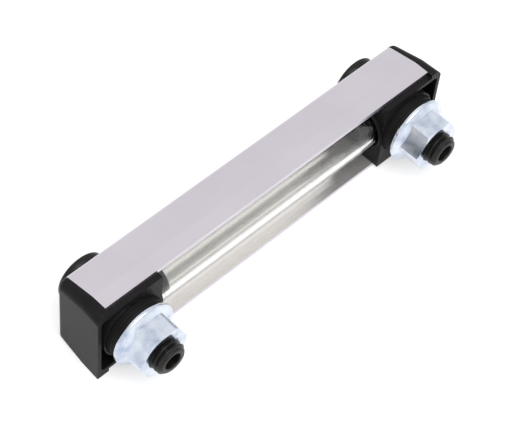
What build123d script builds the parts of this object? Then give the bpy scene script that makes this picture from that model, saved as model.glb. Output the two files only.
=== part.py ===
"""Tank level gauge: an aluminium channel with a moulded cap at each end, a clear sight tube
between the caps, and two hollow screws that clamp the gauge to a tank wall with flange nuts.

It lies on its long side: +X along the gauge, the tank on the -Y side, +Z up, millimetres.
Depths are measured towards -Y from the channel's open edge, so the front is negative.
"""

from build123d import *
import os
from math import cos, radians, tan

# ---- the gauge as a whole
screw_spacing = 127.0
gauge_width = 33.5
end_margin = 15.0

# ---- channel: each side is upright by its open edge, then leans in towards the front
channel_depth = 18.8
upright_height = 5.7
side_lean = 10.8
sheet = 1.6
bend_outer_r = 2.2
bend_inner_r = bend_outer_r - sheet
window_gap = 2.2
window_width = 20.0
window_corner_r = 3.0

# ---- hollow screws (M12: the free end is drawn at the nominal size, and the thread inside
# the nut at its pitch radius, where the two threads meet; the shank has that size too)
thread_r = 6.0
thread_pitch_r = 5.4
thread_end_chamfer = 1.15
screw_end_depth = 20.8
head_r = 9.2
head_height = 5.1
head_edge_break = 0.4
socket_flats = 8.0
socket_depth = 4.0
screw_bore_r = 3.2
relief_r = 4.7
relief_length = 8.0
cross_hole_r = 2.25
drill_point = 1.8
drill_tip_r = 0.1

# ---- flange nuts (M12, 18 mm across flats)
nut_flats = 18.0
nut_height = 10.8
nut_flange_r = 12.3
nut_rim = 1.8
nut_rim_edge_r = 0.6
nut_cone_top_r = 9.0
nut_cone_height = 3.4
nut_corner_r = 10.05
nut_corner_break = 0.9
nut_countersink = 0.7
nut_turn_left = -2.0
nut_turn_right = -1.0

# ---- end caps
cap_rim = 2.2
cap_end = 4.85
cap_reach = 12.0
cap_end_draft = 3.3
cap_top_edge_r = 3.3
cap_hole_clearance = 0.35
cap_wall = 1.5
pocket_depth = 6.0
boss_r = 12.4
pocket_start = 2.0
pocket_corner_r = 1.6
rib = 1.2
rib_drop = 1.0
tube_land = 2.8
mouth_chamfer = 0.4
collar_wall = 0.9
collar_length = 1.2
collar_edge_r = 0.3
passage_r = 3.5

# ---- spigot inside each end of the tube, with its O-ring groove
spigot_clearance = 0.1
spigot_reach = 6.2
spigot_chamfer = 0.5
tube_ring_back = 2.8
tube_ring_cord = 1.5
tube_ring_clearance = 0.1
tube_ring_groove_width = 1.9

# ---- sight tube
tube_r = 8.0
tube_wall = 1.8
tube_bore_r = tube_r - tube_wall
tube_fit = 0.1
tube_from_rim = 9.2

# ---- seals
tank_seal_r = 11.5
tank_seal_recess_clearance = 0.3
tank_seal_seat = 1.5
nut_seat_depth = 6.0
tank_seal_edge_r = 0.7
tank_seal_groove_r = 0.45
head_ring_cord = 2.4
head_ring_seat_clearance = 0.1

# ---- derived
half_width = gauge_width / 2
half_spacing = screw_spacing / 2
half_length = half_spacing + end_margin
channel_half = half_length - cap_end
cap_inner_x = half_spacing - cap_reach
window_half = cap_inner_x - window_gap
inner_half_width = half_width - sheet
web_inner = -(channel_depth - sheet)
head_top_depth = -(channel_depth + head_height)
tube_depth = cap_rim - tube_from_rim
tube_half = cap_inner_x + tube_land
collar_r = tube_r + collar_wall
tube_ring_groove_r = tube_bore_r - tube_ring_cord - tube_ring_clearance
nut_outer_depth = nut_seat_depth + nut_height
y_middle = (screw_end_depth + head_top_depth) / 2


def at(x, depth, z=0.0):
    """A place given by its depth; z is measured from the screws' own height."""
    return Location((x, y_middle - depth, half_width + z))


def disc(x, depth_from, depth_to, r):
    """A cylinder along the screws' direction."""
    mid, high = (depth_from + depth_to) / 2, abs(depth_to - depth_from)
    return at(x, mid) * (Rot(90, 0, 0) * Cylinder(r, high))


def cone(x, depth_from, depth_to, r_from, r_to):
    """A cone along the screws' direction; its radius goes from r_from to r_to."""
    mid, high = (depth_from + depth_to) / 2, depth_to - depth_from
    return at(x, mid) * (Rot(90, 0, 0) * Cone(r_from, r_to, high))


def rod(x_from, x_to, depth, r):
    """A cylinder along the gauge."""
    mid, high = (x_from + x_to) / 2, abs(x_to - x_from)
    return at(mid, depth) * (Rot(0, 90, 0) * Cylinder(r, high))


def block(x_from, x_to, depth_from, depth_to, half_z):
    mid = ((x_from + x_to) / 2, (depth_from + depth_to) / 2)
    return at(*mid) * Box(abs(x_to - x_from), abs(depth_to - depth_from), 2 * half_z)


def section(x_from, x_to, open_depth, inset):
    """A length of the gauge's section, set in from the channel's outer faces, its corners sharp."""
    lean = radians(side_lean)
    side = half_width - inset
    crease = inset * tan(lean / 2) - upright_height
    front = inset - channel_depth
    front_side = half_width - inset / cos(lean) + (front + upright_height) * tan(lean)
    half = [(side, open_depth), (side, crease), (front_side, front)]
    outline = Polygon(*half, *[(-z, depth) for z, depth in reversed(half)], align=None)
    plane = Plane(at(x_from, 0).position, x_dir=(0, 0, 1), z_dir=(1, 0, 0))
    return extrude(plane * outline, x_to - x_from, dir=(1, 0, 0))


def bent(body, bend_r):
    """Rounds the two long corners at the front of a section."""
    return fillet(body.edges().filter_by(Axis.X).group_by(Axis.Y)[-1], bend_r)


def channel():
    body = bent(section(-channel_half, channel_half, 0, 0), bend_outer_r)
    body -= bent(section(-channel_half, channel_half, 0, sheet), bend_inner_r)
    window = block(-window_half, window_half, -channel_depth, web_inner, window_width / 2)
    body -= fillet(window.edges().filter_by(Axis.Y), window_corner_r)
    for side in (-1, 1):
        body -= disc(side * half_spacing, -channel_depth, web_inner, thread_r + cap_hole_clearance)
    return body


def hex_prism(x, depth_from, depth_to, flats, turn):
    prism = extrude(RegularPolygon(flats / 2, 6, major_radius=False), depth_to - depth_from)
    return at(x, depth_from) * (Rot(90, 0, 0) * (Rot(0, 0, turn) * prism))


def screw(side):
    x = side * half_spacing
    body = disc(x, -channel_depth, nut_outer_depth, thread_pitch_r)
    body += disc(x, nut_outer_depth, screw_end_depth, thread_r)
    end = body.edges().filter_by(GeomType.CIRCLE).sort_by(Axis.Y)[0]
    body = chamfer(end, thread_end_chamfer)
    head = disc(x, head_top_depth, -channel_depth, head_r)
    head = chamfer(head.edges().filter_by(GeomType.CIRCLE).sort_by(Axis.Y)[-1], head_edge_break)
    body += head
    body -= hex_prism(x, head_top_depth, head_top_depth + socket_depth, socket_flats, 0)
    relief_from, relief_to = tube_depth - relief_length / 2, tube_depth + relief_length / 2
    body -= disc(x, relief_from, relief_to, head_r) - disc(x, relief_from, relief_to, relief_r)
    body -= disc(x, tube_depth, screw_end_depth, screw_bore_r)
    body -= cone(x, tube_depth - drill_point, tube_depth, drill_tip_r, screw_bore_r)
    body -= rod(x - thread_pitch_r, x + thread_pitch_r, tube_depth, cross_hole_r)
    return body


def nut(side, turn):
    x = side * half_spacing
    seat, top = nut_seat_depth, nut_outer_depth
    hexagon = hex_prism(x, seat + nut_rim, top, nut_flats, turn)
    hexagon = hex_clip(hexagon, x, seat, top)
    body = disc(x, seat, seat + nut_rim, nut_flange_r)
    rim = body.edges().filter_by(GeomType.CIRCLE)
    body = fillet(rim, nut_rim_edge_r)
    cone_top = seat + nut_cone_height
    body += cone(x, seat + nut_rim, cone_top, nut_flange_r - nut_rim_edge_r, nut_cone_top_r)
    body += hexagon
    body -= disc(x, seat, top, thread_pitch_r)
    body -= cone(x, top - nut_countersink, top, thread_pitch_r, thread_r + nut_countersink)
    return body


def hex_clip(hexagon, x, seat, top):
    """Rounds the hexagon's corners to the turned size and breaks them at the outer end."""
    turned = disc(x, seat, top, nut_corner_r)
    end = turned.edges().filter_by(GeomType.CIRCLE).sort_by(Axis.Y)[0]
    return hexagon & chamfer(end, nut_corner_break / 2, nut_corner_break)


def tank_seal(side):
    x = side * half_spacing
    body = disc(x, tank_seal_seat, nut_seat_depth, tank_seal_r)
    body = fillet(body.edges().filter_by(GeomType.CIRCLE), tank_seal_edge_r)
    body -= disc(x, tank_seal_seat, nut_seat_depth, thread_r)
    mid = (cap_rim + nut_seat_depth) / 2
    ring = at(x, mid) * (Rot(90, 0, 0) * Torus(tank_seal_r, tank_seal_groove_r))
    return body - ring


def head_ring(side):
    cord_r = head_ring_cord / 2
    depth = web_inner + cord_r
    return at(side * half_spacing, depth) * (Rot(90, 0, 0) * Torus(thread_pitch_r + cord_r, cord_r))


def tube():
    body = rod(-tube_half, tube_half, tube_depth, tube_r)
    return body - rod(-tube_half, tube_half, tube_depth, tube_bore_r)


def tube_ring(side):
    x = side * (cap_inner_x - spigot_reach + tube_ring_back)
    cord_r = tube_ring_cord / 2
    return at(x, tube_depth) * (Rot(0, 90, 0) * Torus(tube_bore_r - cord_r, cord_r))


def end_cap(side):
    """The cap is drawn for the +X end and mirrored for the other."""
    x = half_spacing
    body = section(channel_half, half_length, cap_rim, 0)
    beyond = Box(
        cap_end, 4 * channel_depth, 2 * gauge_width, align=(Align.MIN, Align.CENTER, Align.CENTER)
    )
    body -= at(half_length, cap_rim) * (Rot(0, 0, cap_end_draft) * beyond)
    end_edges = body.faces().sort_by(Axis.X)[-1].edges()
    body = fillet(end_edges.filter_by(lambda e: e.center().Z > inner_half_width * 2), cap_top_edge_r)
    body = bent(body, bend_outer_r)
    body += bent(section(cap_inner_x, channel_half, cap_rim, sheet), bend_inner_r)
    collar = rod(cap_inner_x - collar_length, cap_inner_x, tube_depth, collar_r)
    rim = collar.edges().filter_by(GeomType.CIRCLE).sort_by(Axis.X)[0]
    body += fillet(rim, collar_edge_r)
    # tank side: pocket round the screw boss, with one rib to the end wall
    pocket = block(
        x + pocket_start, half_length - cap_wall, cap_rim - pocket_depth, cap_rim,
        inner_half_width - cap_wall,
    )
    pocket = fillet(pocket.edges().filter_by(Axis.Y).group_by(Axis.X)[-1], pocket_corner_r)
    pocket -= disc(x, cap_rim - pocket_depth, cap_rim, boss_r)
    pocket -= block(
        x, half_length, cap_rim - pocket_depth, cap_rim - rib_drop, rib / 2
    )
    body -= pocket
    # screw hole, seal seat on the tank side, ring seat behind the channel's web
    body -= disc(x, web_inner, cap_rim, thread_r + cap_hole_clearance)
    body -= disc(x, tank_seal_seat, cap_rim, tank_seal_r + tank_seal_recess_clearance)
    ring_r = thread_pitch_r + head_ring_cord + head_ring_seat_clearance
    body -= disc(x, web_inner, web_inner + head_ring_cord, ring_r)
    # tube socket, spigot and the passage to the screw
    socket_end = cap_inner_x + tube_land
    mouth_x = cap_inner_x - collar_length
    body -= rod(mouth_x, socket_end, tube_depth, tube_r + tube_fit)
    mouth_r = tube_r + tube_fit + mouth_chamfer
    body -= at(mouth_x + mouth_chamfer / 2, tube_depth) * (
        Rot(0, 90, 0) * Cone(mouth_r, tube_r + tube_fit, mouth_chamfer)
    )
    spigot_end = cap_inner_x - spigot_reach
    spigot = rod(spigot_end, socket_end, tube_depth, tube_bore_r - spigot_clearance)
    end = spigot.edges().filter_by(GeomType.CIRCLE).sort_by(Axis.X)[0]
    spigot = chamfer(end, spigot_chamfer)
    groove_x = spigot_end + tube_ring_back
    half_groove = tube_ring_groove_width / 2
    groove = rod(groove_x - half_groove, groove_x + half_groove, tube_depth, tube_bore_r)
    groove -= rod(groove_x - half_groove, groove_x + half_groove, tube_depth, tube_ring_groove_r)
    body += spigot - groove
    body -= rod(spigot_end, x, tube_depth, passage_r)
    return body if side > 0 else mirror(body, about=Plane.YZ)


pieces = {
    "channel": channel(),
    "sight_tube": tube(),
}
for label, side, turn in (("left", -1, nut_turn_left), ("right", 1, nut_turn_right)):
    pieces["end_cap_" + label] = end_cap(side)
    pieces["hollow_screw_" + label] = screw(side)
    pieces["flange_nut_" + label] = nut(side, turn)
    pieces["tank_seal_" + label] = tank_seal(side)
    pieces["head_ring_" + label] = head_ring(side)
    pieces["tube_ring_" + label] = tube_ring(side)

os.makedirs("parts", exist_ok=True)
for name, piece in pieces.items():
    export_step(piece, "parts/" + name + ".step")
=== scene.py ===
"""Looks of the tank level gauge: finishes of every piece, the screws' real threads, light and camera."""

import math

import bmesh
import bpy
from mathutils import Matrix, Vector


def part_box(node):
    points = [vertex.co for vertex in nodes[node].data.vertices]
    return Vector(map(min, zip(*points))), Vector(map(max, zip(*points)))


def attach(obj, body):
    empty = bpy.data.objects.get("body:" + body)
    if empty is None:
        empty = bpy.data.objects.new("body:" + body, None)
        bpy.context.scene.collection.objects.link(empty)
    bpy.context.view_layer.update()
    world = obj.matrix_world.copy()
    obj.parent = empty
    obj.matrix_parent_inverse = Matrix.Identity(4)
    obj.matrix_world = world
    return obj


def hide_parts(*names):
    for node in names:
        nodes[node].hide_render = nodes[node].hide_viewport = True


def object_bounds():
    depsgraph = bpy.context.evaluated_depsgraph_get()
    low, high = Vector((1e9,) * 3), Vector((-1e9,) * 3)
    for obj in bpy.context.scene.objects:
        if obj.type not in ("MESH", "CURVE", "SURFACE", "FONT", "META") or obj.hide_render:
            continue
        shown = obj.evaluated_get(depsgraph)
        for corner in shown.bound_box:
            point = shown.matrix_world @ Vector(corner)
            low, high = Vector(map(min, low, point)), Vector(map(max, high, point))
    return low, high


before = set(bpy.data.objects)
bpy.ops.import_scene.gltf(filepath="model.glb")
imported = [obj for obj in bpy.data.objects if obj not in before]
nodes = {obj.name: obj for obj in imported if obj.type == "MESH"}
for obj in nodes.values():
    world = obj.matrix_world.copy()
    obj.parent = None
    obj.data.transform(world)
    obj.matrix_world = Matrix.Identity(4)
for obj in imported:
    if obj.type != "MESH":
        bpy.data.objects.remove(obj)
cad_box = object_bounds()

MM = 0.001
SIDES = ("left", "right")

# ---- thread of the hollow screws (M12 x 1.75), where it stands out of the nuts
THREAD_R = 6.0 * MM
PITCH = 1.75 * MM
THREAD_DEPTH = 0.95 * MM
CREST_END = 0.22
ROOT_START = 0.88
HIDDEN_TURNS = 0.2
END_FACE_R = 4.75 * MM
END_CHAMFER_SLOPE = 1.15
BORE_R = 3.2 * MM
BORE_BREAK = 0.3 * MM
ROUND_STEPS = 96
PITCH_STEPS = 14
SHARP_FROM = 32

# ---- the channel's sheet: inner faces lie deeper than this under the outer ones
INSIDE_FROM = 1.2 * MM

# ---- end caps: edge radius left by the mould, and the pitch of the grain
CAP_EDGE = 0.25 * MM
CAP_EDGE_FROM = 40
GRAIN_PITCH = 0.38 * MM

# ---- camera, round the gauge's own middle
CAMERA_AZIMUTH = -49.52
CAMERA_ELEVATION = 53.06
CAMERA_ROLL = 6.67
CAMERA_DISTANCE = 638.4 * MM
CAMERA_LENS = 136.1
AIM = Vector((-5.13, 1.15, 16.75)) * MM

# ---- light: the surroundings light matt surfaces a little less than they show in mirrors,
# and the floor glows a little, so that the shadow on it stays soft
DIFFUSE_LIGHT = 0.8
FLOOR_SIZE = 6.0
FLOOR_GREY = 0.5
FLOOR_GLOW = 0.55
KEY_AZIMUTH = -20
KEY_ELEVATION = 65
KEY_DISTANCE = 0.9
KEY_SIZE = 0.7
KEY_WATTS = 6.0


# ------------------------------------------------------------------ materials
class Graph:
    """A short way to write a procedural material around one Principled shader."""

    def __init__(self, name, **sockets):
        self.mat = bpy.data.materials.new(name)
        self.mat.use_nodes = True
        self.tree = self.mat.node_tree
        self.shader = self.tree.nodes["Principled BSDF"]
        for key, value in sockets.items():
            self.shader.inputs[key.replace("_", " ")].default_value = value
        self.place = self.add("ShaderNodeTexCoord").outputs["Object"]

    def add(self, kind, **settings):
        node = self.tree.nodes.new(kind)
        for key, value in settings.items():
            setattr(node, key, value)
        return node

    def link(self, source, target):
        self.tree.links.new(source, target)

    def stretched(self, scale):
        mapping = self.add("ShaderNodeMapping")
        mapping.inputs["Scale"].default_value = scale
        self.link(self.place, mapping.inputs["Vector"])
        return mapping.outputs["Vector"]

    def noise(self, scale, detail=2.0, vector=None):
        node = self.add("ShaderNodeTexNoise")
        node.inputs["Scale"].default_value = scale
        node.inputs["Detail"].default_value = detail
        self.link(vector or self.place, node.inputs["Vector"])
        return node.outputs["Fac"]

    def ramp(self, factor, stops):
        node = self.add("ShaderNodeValToRGB")
        while len(node.color_ramp.elements) < len(stops):
            node.color_ramp.elements.new(0.5)
        for element, (at, colour) in zip(node.color_ramp.elements, stops):
            element.position = at
            element.color = (*colour, 1.0)
        self.link(factor, node.inputs["Fac"])
        return node.outputs["Color"]

    def span(self, factor, low, high):
        node = self.add("ShaderNodeMapRange")
        node.inputs["To Min"].default_value = low
        node.inputs["To Max"].default_value = high
        self.link(factor, node.inputs["Value"])
        return node.outputs["Result"]

    def bump(self, height, strength, distance):
        node = self.add("ShaderNodeBump")
        node.inputs["Strength"].default_value = strength
        node.inputs["Distance"].default_value = distance
        self.link(height, node.inputs["Height"])
        self.link(node.outputs["Normal"], self.shader.inputs["Normal"])

    def drive(self, socket, source):
        self.link(source, self.shader.inputs[socket])


def anodised_aluminium():
    """Satin, faintly lilac, drawn along the gauge."""
    g = Graph("satin_anodised_aluminium", Metallic=1.0)
    drawn = g.stretched((6.0, 400.0, 400.0))
    lines = g.noise(9.0, 4.0, drawn)
    cloud = g.noise(40.0, 2.0)
    g.drive("Base Color", g.ramp(cloud, [(0.3, (0.60, 0.565, 0.62)), (0.7, (0.64, 0.60, 0.655))]))
    g.drive("Roughness", g.span(lines, 0.26, 0.36))
    g.bump(lines, 0.08, 0.02 * MM)
    return g.mat


def inner_aluminium_painted_light():
    """The channel's inside: smoother than the outside, with painted light, a base colour much brighter
    than the outside's.
    """
    g = Graph("inner_aluminium_with_painted_light", Metallic=0.78)
    lines = g.noise(7.0, 3.0, g.stretched((5.0, 300.0, 300.0)))
    # painted light: the inner faces' base colour is far brighter than the outside's, though the channel
    # is one anodised part
    g.drive("Base Color", g.ramp(lines, [(0.3, (0.93, 0.905, 0.88)), (0.7, (0.96, 0.94, 0.92))]))
    g.drive("Roughness", g.span(lines, 0.12, 0.2))
    g.bump(lines, 0.04, 0.01 * MM)
    return g.mat


def moulded_plastic():
    """Black nylon with a fine moulded grain in diagonal rows."""
    g = Graph("grained_black_plastic", Specular_IOR_Level=0.12)
    turned = g.add("ShaderNodeMapping")
    turned.inputs["Rotation"].default_value = (math.radians(45), math.radians(20), 0.0)
    g.link(g.place, turned.inputs["Vector"])
    rows = g.add("ShaderNodeTexChecker")
    rows.inputs["Scale"].default_value = 1 / GRAIN_PITCH
    g.link(turned.outputs["Vector"], rows.inputs["Vector"])
    cloud = g.noise(120.0, 3.0)
    g.drive("Base Color", g.ramp(cloud, [(0.3, (0.005, 0.0045, 0.005)), (0.75, (0.009, 0.008, 0.009))]))
    g.drive("Roughness", g.span(rows.outputs["Fac"], 0.3, 0.5))
    g.bump(rows.outputs["Fac"], 0.6, 0.04 * MM)
    return g.mat


def black_oxide():
    g = Graph("oiled_black_oxide", Specular_IOR_Level=0.25)
    grain = g.noise(900.0, 3.0)
    wear = g.noise(260.0, 4.0)
    g.drive("Base Color", g.ramp(wear, [(0.35, (0.004, 0.0035, 0.003)), (0.75, (0.011, 0.010, 0.009))]))
    g.drive("Roughness", g.span(grain, 0.28, 0.46))
    g.bump(grain, 0.15, 0.03 * MM)
    return g.mat


def blue_zinc():
    """Bright zinc plate with a bluish passivation."""
    g = Graph("bluish_zinc_plate", Metallic=1.0)
    tone = g.noise(180.0, 3.0)
    grain = g.noise(1500.0, 2.0)
    tones = [(0.3, (0.42, 0.48, 0.60)), (0.5, (0.62, 0.67, 0.77)), (0.75, (0.76, 0.81, 0.86))]
    g.drive("Base Color", g.ramp(tone, tones))
    g.drive("Roughness", g.span(tone, 0.14, 0.26))
    g.bump(grain, 0.06, 0.03 * MM)
    return g.mat


def moulded_rubber():
    g = Graph("moulded_rubber", Specular_IOR_Level=0.14)
    grain = g.noise(1800.0, 3.0)
    g.drive("Base Color", g.ramp(grain, [(0.3, (0.005, 0.005, 0.005)), (0.8, (0.010, 0.010, 0.010))]))
    g.drive("Roughness", g.span(grain, 0.45, 0.65))
    g.bump(grain, 0.2, 0.03 * MM)
    return g.mat


def clear_tube():
    g = Graph("clear_tube", IOR=1.5, Transmission_Weight=1.0)
    waves = g.noise(30.0, 2.0, g.stretched((0.3, 4.0, 4.0)))
    g.drive("Base Color", g.ramp(waves, [(0.2, (0.975, 0.98, 0.965)), (0.8, (0.99, 0.99, 0.985))]))
    g.drive("Roughness", g.span(waves, 0.0, 0.02))
    return g.mat


# ------------------------------------------------------------------ pieces
def dress(name, material):
    piece = nodes[name]
    piece.data.materials.clear()
    piece.data.materials.append(material)
    return piece


def thread_radius(turn, from_end):
    """Outer radius of the thread: a 60 degree V with flat crests, cut down by the end's chamfer."""
    phase = turn % 1.0
    flank = abs(phase - 0.5) * 2.0
    cut = min(max((flank - CREST_END) / (ROOT_START - CREST_END), 0.0), 1.0)
    radius = THREAD_R - THREAD_DEPTH * cut
    return min(radius, END_FACE_R + from_end * END_CHAMFER_SLOPE)


def threaded_end(bm, x, start, end, z):
    """A closed ring with the thread outside and the bore inside, along -Y from start to end."""
    length = start - end
    steps = round(length / PITCH * PITCH_STEPS)
    outer, inner = [], []
    for i in range(steps + 1):
        along = length * i / steps
        ring_out, ring_in = [], []
        from_end = length - along
        bore = BORE_R + max(BORE_BREAK - from_end, 0.0)
        for k in range(ROUND_STEPS):
            angle = 2 * math.pi * k / ROUND_STEPS
            r = thread_radius(along / PITCH - k / ROUND_STEPS, from_end)
            c, s = math.cos(angle), math.sin(angle)
            ring_out.append(bm.verts.new((x + r * c, start - along, z + r * s)))
            ring_in.append(bm.verts.new((x + bore * c, start - along, z + bore * s)))
        outer.append(ring_out)
        inner.append(ring_in)
    for k in range(ROUND_STEPS):
        n = (k + 1) % ROUND_STEPS
        for i in range(steps):
            bm.faces.new((outer[i][k], outer[i + 1][k], outer[i + 1][n], outer[i][n]))
            bm.faces.new((inner[i][n], inner[i + 1][n], inner[i + 1][k], inner[i][k]))
        bm.faces.new((outer[0][n], inner[0][n], inner[0][k], outer[0][k]))
        bm.faces.new((outer[-1][k], inner[-1][k], inner[-1][n], outer[-1][n]))


def finished_screw(side, material):
    """The CAD screw with its plain free end taken off and the real thread put in its place."""
    name = "hollow_screw_" + side
    low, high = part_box(name)
    x, z = (low[0] + high[0]) / 2, (low[2] + high[2]) / 2
    nut_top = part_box("flange_nut_" + side)[0][1]
    start = nut_top + HIDDEN_TURNS * PITCH
    bm = bmesh.new()
    bm.from_mesh(nodes[name].data)
    bmesh.ops.remove_doubles(bm, verts=bm.verts, dist=1e-6)
    everything = bm.verts[:] + bm.edges[:] + bm.faces[:]
    cut = bmesh.ops.bisect_plane(
        bm, geom=everything, plane_co=(0, start, 0), plane_no=(0, -1, 0), clear_outer=True
    )
    rim = [e for e in cut["geom_cut"] if isinstance(e, bmesh.types.BMEdge)]
    bmesh.ops.triangle_fill(bm, edges=rim, use_beauty=True)
    threaded_end(bm, x, start, low[1], z)
    bmesh.ops.recalc_face_normals(bm, faces=bm.faces)
    mesh = bpy.data.meshes.new(name + "_finished")
    bm.to_mesh(mesh)
    bm.free()
    mesh.materials.append(material)
    piece = bpy.data.objects.new(name + "_finished", mesh)
    bpy.context.collection.objects.link(piece)
    mesh.shade_smooth()
    mesh.set_sharp_from_angle(angle=math.radians(SHARP_FROM))
    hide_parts(name)
    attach(piece, "root")


def channel_painted_light_inside():
    """Satin outside; the inner faces of the web and the two sides take the smoother aluminium with
    painted light, a brighter base colour.
    """
    piece = dress("channel", anodised_aluminium())
    piece.data.materials.append(inner_aluminium_painted_light())
    low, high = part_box("channel")
    middle_z = (low[2] + high[2]) / 2
    for face in piece.data.polygons:
        c, n = face.center, face.normal
        off_outside = min(c.z - low[2], high[2] - c.z, high[1] - c.y)
        web_inside = n.y < -0.5 and c.y > high[1] - 3 * MM
        side_inside = n.z * (middle_z - c.z) > 0.5 * abs(c.z - middle_z)
        if off_outside > INSIDE_FROM and (web_inside or side_inside):
            # this inner face takes the material with painted light
            face.material_index = 1


def soft_edged_cap(side, material):
    """A moulding's edges are never quite sharp, so they catch a thin line of light."""
    piece = dress("end_cap_" + side, material)
    joined = piece.modifiers.new("joined", "WELD")
    joined.merge_threshold = 0.001 * MM
    edges = piece.modifiers.new("soft_edges", "BEVEL")
    edges.width, edges.segments = CAP_EDGE, 2
    edges.limit_method, edges.angle_limit = "ANGLE", math.radians(CAP_EDGE_FROM)
    edges.harden_normals = True


channel_painted_light_inside()
dress("sight_tube", clear_tube())
plastic, rubber, zinc, oxide = moulded_plastic(), moulded_rubber(), blue_zinc(), black_oxide()
for side in SIDES:
    soft_edged_cap(side, plastic)
    dress("flange_nut_" + side, zinc)
    for ring in ("tank_seal_", "head_ring_", "tube_ring_"):
        dress(ring + side, rubber)
    finished_screw(side, oxide)


# ------------------------------------------------------------------ stage, light, camera
def pale_floor():
    bpy.ops.mesh.primitive_plane_add(size=FLOOR_SIZE, location=(0, 0, cad_box[0][2]))
    floor = bpy.context.object
    floor.name = "floor"
    mat = bpy.data.materials.new("pale_floor")
    mat.use_nodes = True
    tree = mat.node_tree
    shader = tree.nodes["Principled BSDF"]
    shader.inputs["Base Color"].default_value = (FLOOR_GREY, FLOOR_GREY, FLOOR_GREY, 1)
    shader.inputs["Emission Color"].default_value = (1, 1, 1, 1)
    shader.inputs["Emission Strength"].default_value = FLOOR_GLOW
    shader.inputs["Roughness"].default_value = 0.9
    shader.inputs["Specular IOR Level"].default_value = 0.0
    floor.data.materials.append(mat)


def area_light(name, azimuth, elevation, distance, size, watts):
    a, e = math.radians(azimuth), math.radians(elevation)
    back = Vector((math.sin(a) * math.cos(e), -math.cos(a) * math.cos(e), math.sin(e)))
    data = bpy.data.lights.new(name, "AREA")
    data.shape, data.size, data.energy = "DISK", size, watts
    lamp = bpy.data.objects.new(name, data)
    lamp.location = back * distance
    lamp.rotation_mode = "QUATERNION"
    lamp.rotation_quaternion = back.to_track_quat("Z", "Y")
    bpy.context.collection.objects.link(lamp)


def studio_world():
    world = bpy.data.worlds.new("studio")
    bpy.context.scene.world = world
    world.use_nodes = True
    tree = world.node_tree
    background = tree.nodes["Background"]
    background.inputs["Color"].default_value = (1, 1, 1, 1)
    path = tree.nodes.new("ShaderNodeLightPath")
    sharp = tree.nodes.new("ShaderNodeMath")
    sharp.operation = "MAXIMUM"
    seen = tree.nodes.new("ShaderNodeMath")
    seen.operation = "MAXIMUM"
    tree.links.new(path.outputs["Is Glossy Ray"], sharp.inputs[0])
    tree.links.new(path.outputs["Is Transmission Ray"], sharp.inputs[1])
    tree.links.new(sharp.outputs[0], seen.inputs[0])
    tree.links.new(path.outputs["Is Camera Ray"], seen.inputs[1])
    level = tree.nodes.new("ShaderNodeMapRange")
    level.inputs["To Min"].default_value = DIFFUSE_LIGHT
    level.inputs["To Max"].default_value = 1.0
    tree.links.new(seen.outputs[0], level.inputs["Value"])
    tree.links.new(level.outputs["Result"], background.inputs["Strength"])


def camera():
    a, e, roll = (math.radians(v) for v in (CAMERA_AZIMUTH, CAMERA_ELEVATION, CAMERA_ROLL))
    back = Vector((math.sin(a) * math.cos(e), -math.cos(a) * math.cos(e), math.sin(e)))
    right = Vector((0, 0, 1)).cross(back).normalized()
    up = back.cross(right)
    across = math.cos(roll) * right + math.sin(roll) * up
    upward = -math.sin(roll) * right + math.cos(roll) * up
    data = bpy.data.cameras.new("camera")
    data.sensor_width, data.lens = 36.0, CAMERA_LENS
    data.clip_start, data.clip_end = 0.01, 20.0
    cam = bpy.data.objects.new("camera", data)
    turn = Matrix((across, upward, back)).transposed().to_4x4()
    cam.matrix_world = Matrix.Translation(AIM + back * CAMERA_DISTANCE) @ turn
    bpy.context.collection.objects.link(cam)
    bpy.context.scene.camera = cam


pale_floor()
studio_world()
area_light("key", KEY_AZIMUTH, KEY_ELEVATION, KEY_DISTANCE, KEY_SIZE, KEY_WATTS)
camera()
bpy.context.scene.view_settings.view_transform = "Standard"
